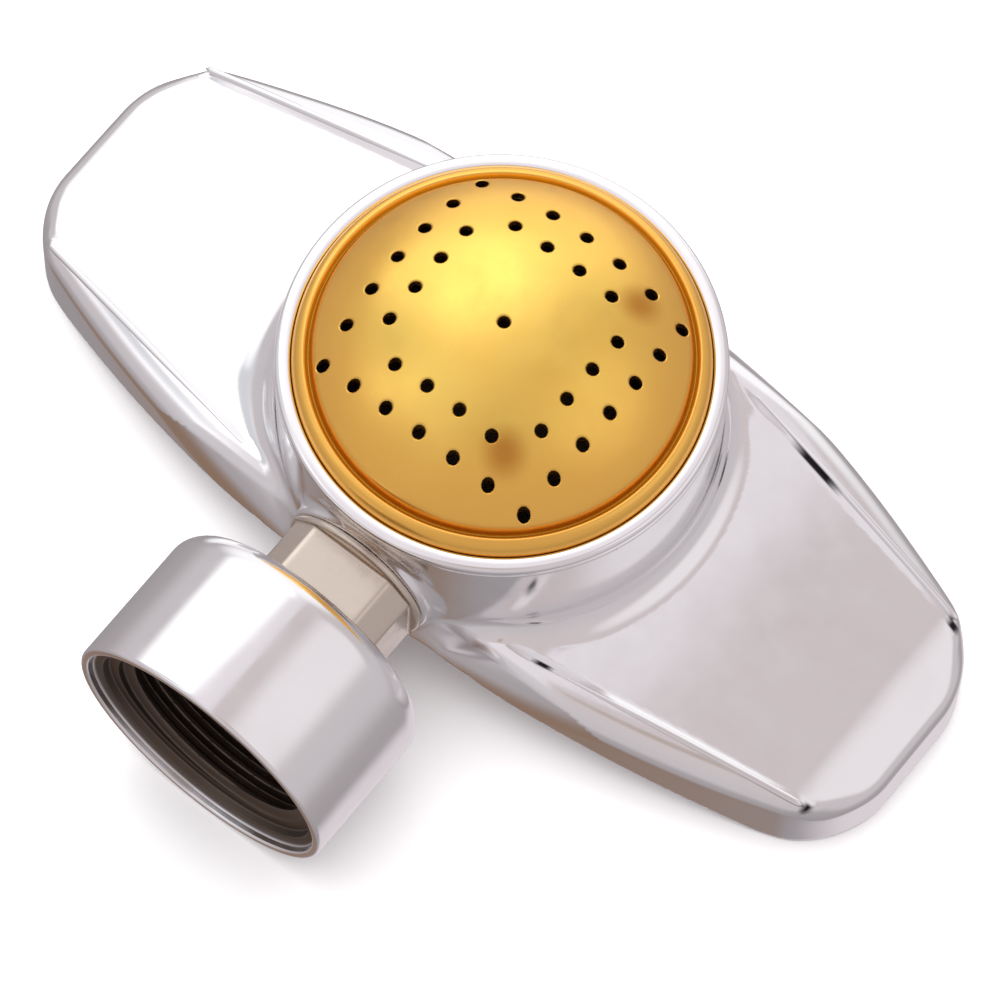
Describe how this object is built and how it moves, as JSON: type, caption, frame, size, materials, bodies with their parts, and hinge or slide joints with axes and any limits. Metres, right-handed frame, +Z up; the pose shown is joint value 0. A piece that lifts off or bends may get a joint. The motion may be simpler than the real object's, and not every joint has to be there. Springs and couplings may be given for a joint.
{
  "type": "lawn spot sprinkler",
  "caption": "Chromed cast spot lawn sprinkler on two wing feet, with a domed brass spray plate in a square hole pattern and a female swivel hose coupling.",
  "frame": {"origin": "where the vertical axis of the drum and spray plate meets the ground plane that the wing tips rest on", "axes": "+Z up along the spray axis, +X along the wings, -Y towards the hose, out of the coupling's mouth"},
  "size_m": [0.122, 0.0812, 0.0423],
  "materials": {
    "cast_chrome": "polished chrome plating over a slightly uneven zinc casting",
    "ring_chrome": "bright chrome plating",
    "nut_chrome": "turned and chrome plated, smooth outside, plated thread inside",
    "fitting_nickel": "warm nickel-coloured plating on a bevelled rectangular neck",
    "plate_brass": "polished pressed brass",
    "seal_rubber": "matt black rubber",
    "washer_rubber": "matt black rubber"
  },
  "bodies": {
    "body": {"body_casting": "cast_chrome", "plate_gasket": "seal_rubber", "spray_plate": "plate_brass", "plate_retaining_ring": "ring_chrome", "fitting_seal": "seal_rubber", "inlet_fitting": "fitting_nickel"},
    "coupling": {"coupling_nut": "nut_chrome", "hose_washer": "washer_rubber"}
  },
  "joints": [
    {"name": "coupling_spin", "type": "hinge", "parent": "body", "child": "coupling", "pos_m": [0, -0.045, 0.0176], "axis": [0, -1, 0], "continuous": true}
  ]
}
